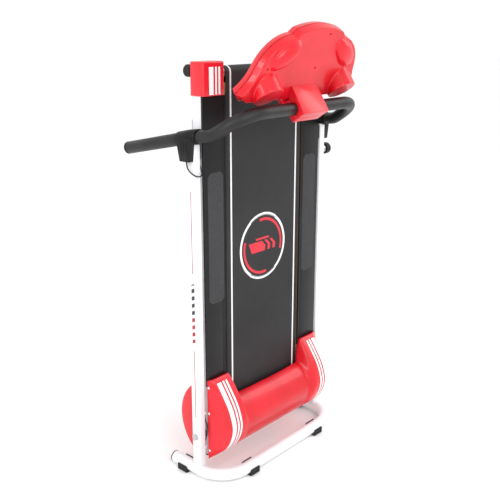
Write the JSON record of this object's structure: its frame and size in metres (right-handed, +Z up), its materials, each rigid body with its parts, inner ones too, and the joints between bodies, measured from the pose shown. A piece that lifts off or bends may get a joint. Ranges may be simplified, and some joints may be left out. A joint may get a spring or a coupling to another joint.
{
  "type": "folding electric treadmill",
  "caption": "Home treadmill in its upright storage position: hinged running deck with motor hood, bent tube stand, foam handlebar and console.",
  "frame": {"origin": "middle of the floor area that the machine covers, at floor height", "axes": "+X to the right seen from the motor hood's side, +Y towards the runner's side where the deck folds down, +Z up"},
  "size_m": [0.6502, 0.4909, 1.3561],
  "materials": {
    "white_steel": "gloss white powder coat",
    "red_plastic": "gloss red moulding",
    "black_plastic": "satin black moulding",
    "belt_pvc": "woven textured running belt",
    "grip_foam": "soft foam sleeve",
    "black_rubber": "matt rubber",
    "zinc_steel": "zinc plated",
    "roller_steel": "turned steel",
    "motor_black": "black enamel",
    "fibreboard": "waxed fibreboard",
    "window_tint": "tinted clear plastic",
    "circuit_green": "solder mask",
    "controller_grey": "extruded",
    "button_green": "satin",
    "button_red": "satin",
    "button_grey": "satin",
    "screw_white": "white"
  },
  "bodies": {
    "stand": {"base_tube": "white_steel", "base_end_plugs": "black_plastic", "floor_pads": "black_rubber", "left_upright": "white_steel", "right_upright": "white_steel", "pivot_bolts": "zinc_steel", "pivot_bushes": "zinc_steel", "pivot_nuts": "zinc_steel", "handlebar_tube": "motor_black", "bow_foam": "grip_foam", "grip_foam": "grip_foam", "grip_end_caps": "black_plastic", "left_collar": "black_plastic", "right_collar": "black_plastic", "collar_plates": "black_plastic", "collar_bolts": "zinc_steel", "lock_housing": "zinc_steel", "console_cable": "black_rubber", "harness_cable": "black_rubber", "console_back": "red_plastic", "console_cups": "red_plastic", "console_front": "red_plastic", "display_window": "window_tint", "console_board": "circuit_green", "console_bracket": "red_plastic", "console_clamp": "red_plastic"},
    "deck": {"left_side_member": "white_steel", "right_side_member": "white_steel", "deck_cross_tubes": "white_steel", "board_flanges": "white_steel", "motor_hood": "red_plastic", "belly_pan": "red_plastic", "rear_caps": "red_plastic", "frame_end_plugs": "black_plastic", "left_foot_rail": "black_plastic", "right_foot_rail": "black_plastic", "power_entry": "black_plastic", "running_belt": "belt_pvc", "board_cushions": "black_rubber", "rear_feet": "black_rubber", "drive_belt": "black_rubber", "grip_strips": "black_rubber", "motor_cradle": "zinc_steel", "roller_axles": "roller_steel", "motor_body": "motor_black", "deck_board": "fibreboard", "controller_box": "controller_grey", "hood_screws": "screw_white"},
    "front_roller": {"front_roller": "roller_steel", "roller_pulley": "roller_steel"},
    "rear_roller": {"rear_roller": "roller_steel"},
    "motor_rotor": {"motor_shaft": "roller_steel", "flywheel": "roller_steel"},
    "power_rocker": {"power_switch_rocker": "black_plastic"},
    "deck_lock": {"lock_knob": "black_plastic"},
    "speed_up": {"speed_up_button": "button_grey"},
    "speed_down": {"speed_down_button": "button_grey"},
    "start": {"start_button": "button_green"},
    "stop": {"stop_button": "button_red"},
    "safety_key": {"safety_key": "red_plastic"}
  },
  "joints": [
    {"name": "deck_fold", "type": "hinge", "parent": "stand", "child": "deck", "pos_m": [0, -0.01076, 0.139], "axis": [-1, 0, 0], "range_deg": [0, 94.3]},
    {"name": "front_roller_turn", "type": "hinge", "parent": "deck", "child": "front_roller", "pos_m": [0, -0.00826, 0.215], "axis": [1, 0, 0], "continuous": true},
    {"name": "rear_roller_turn", "type": "hinge", "parent": "deck", "child": "rear_roller", "pos_m": [0, -0.00826, 1.221], "axis": [1, 0, 0], "continuous": true},
    {"name": "motor_turn", "type": "hinge", "parent": "deck", "child": "motor_rotor", "pos_m": [0.15, 0.00524, 0.135], "axis": [1, 0, 0], "continuous": true},
    {"name": "power_rocker_tilt", "type": "hinge", "parent": "deck", "child": "power_rocker", "pos_m": [-0.06, -0.00476, 0.061], "axis": [1, 0, 0], "range_deg": [-12, 12]},
    {"name": "lock_slide", "type": "slide", "parent": "stand", "child": "deck_lock", "axis": [1, 0, 0], "range_m": [-0.012, 0]},
    {"name": "speed_up_press", "type": "slide", "parent": "stand", "child": "speed_up", "axis": [0, -0.9063, -0.4226], "range_m": [0, 0.0015], "stiffness_N_per_m": 600},
    {"name": "speed_down_press", "type": "slide", "parent": "stand", "child": "speed_down", "axis": [0, -0.9063, -0.4226], "range_m": [0, 0.0015], "stiffness_N_per_m": 600},
    {"name": "start_press", "type": "slide", "parent": "stand", "child": "start", "axis": [0, -0.9063, -0.4226], "range_m": [0, 0.0015], "stiffness_N_per_m": 600},
    {"name": "stop_press", "type": "slide", "parent": "stand", "child": "stop", "axis": [0, -0.9063, -0.4226], "range_m": [0, 0.0015], "stiffness_N_per_m": 600},
    {"name": "key_pull", "type": "slide", "parent": "stand", "child": "safety_key", "axis": [0, 0.9063, 0.4226], "range_m": [0, 0.03]}
  ],
  "couplings": [
    {"joint": "rear_roller_turn", "follows": "front_roller_turn", "ratio": 1},
    {"joint": "motor_turn", "follows": "front_roller_turn", "ratio": 2.5}
  ]
}
